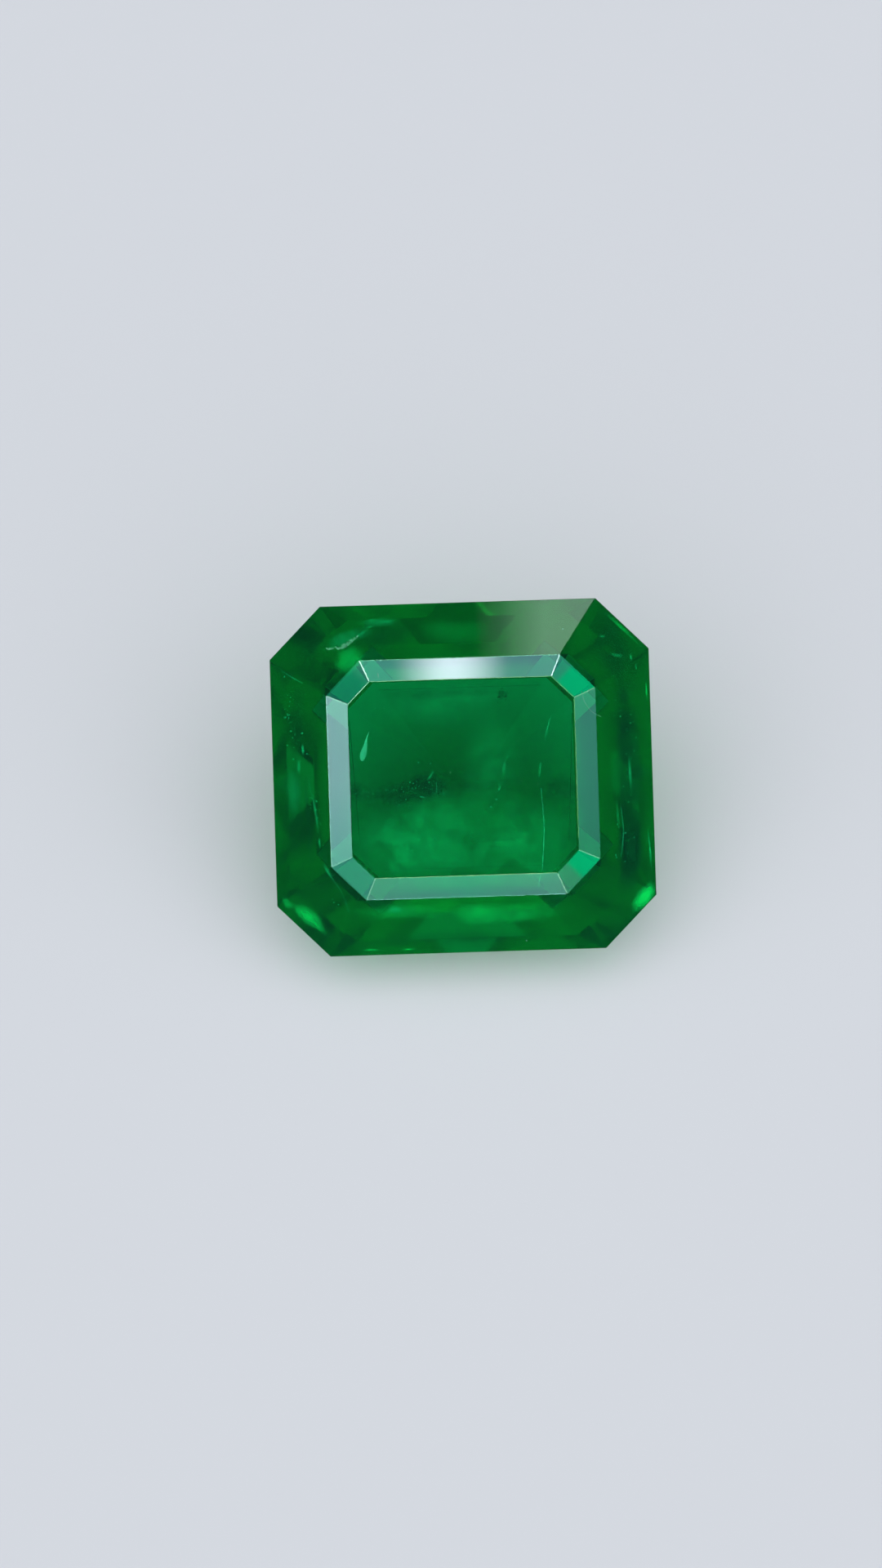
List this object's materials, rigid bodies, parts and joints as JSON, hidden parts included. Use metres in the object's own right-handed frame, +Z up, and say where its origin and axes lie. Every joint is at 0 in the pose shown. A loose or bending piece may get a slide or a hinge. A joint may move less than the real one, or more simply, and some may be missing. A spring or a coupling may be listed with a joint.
{
  "type": "cut emerald",
  "caption": "Loose faceted gemstone, a nearly square step cut with cut corners, lying tipped on a facet of its underside so that its flat table faces forward and up.",
  "frame": {"origin": "on the ground, under the middle of the box that just holds the stone as it lies", "axes": "+X along the stone's longer side; -Z is the outward direction of the facet it lies on; +Z up; the table faces forward, to -Y, and up"},
  "size_m": [0.014, 0.0112, 0.0094],
  "materials": {
    "emerald": "polished clear green gemstone"
  },
  "bodies": {
    "root": {"emerald": "emerald"}
  },
  "joints": []
}
